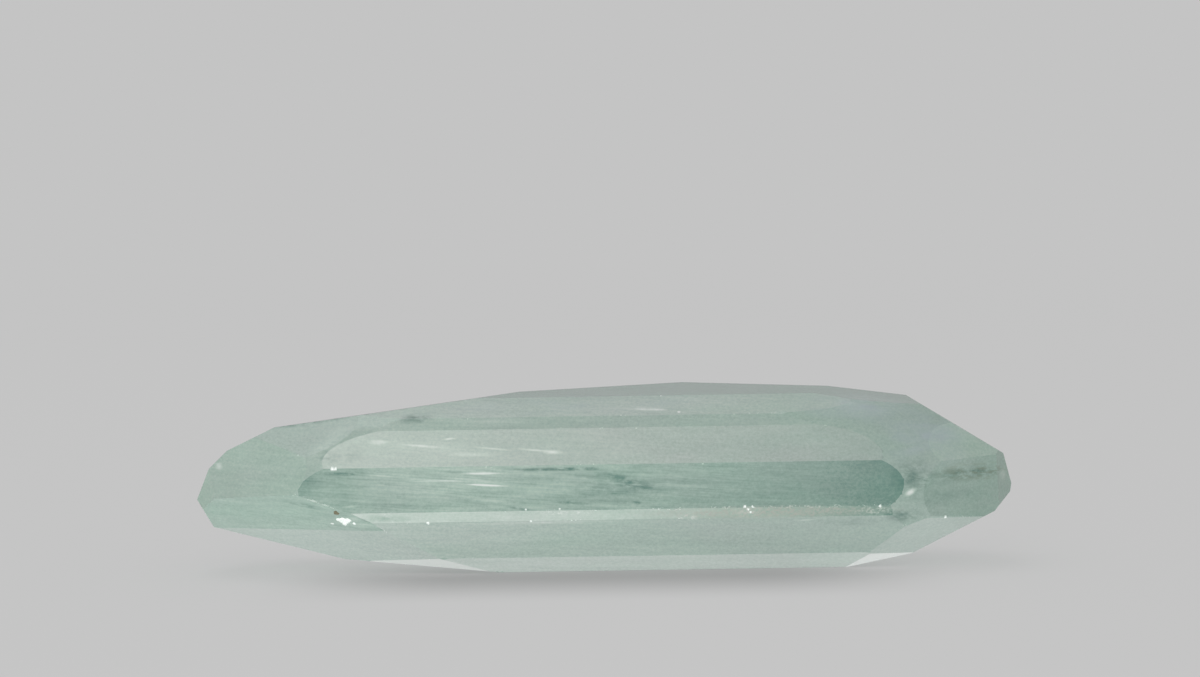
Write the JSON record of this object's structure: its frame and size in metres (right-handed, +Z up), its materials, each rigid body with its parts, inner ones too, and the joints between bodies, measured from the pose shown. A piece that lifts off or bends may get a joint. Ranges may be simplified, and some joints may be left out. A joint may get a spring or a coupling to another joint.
{
  "type": "sapphire",
  "caption": "Long hand-cut sapphire of pale sea green, slightly milky inside, with long flat facets and short steep facets at both ends; lies on a flat facet.",
  "frame": {"origin": "on the facet that the stone rests on, under the middle of its length and depth", "axes": "+Z up, +X along the stone towards its blunter end, front at -Y"},
  "size_m": [0.034, 0.0084, 0.0075],
  "materials": {
    "sapphire": "polished facets, slightly milky inside"
  },
  "bodies": {
    "root": {"sapphire": "sapphire"}
  },
  "joints": []
}
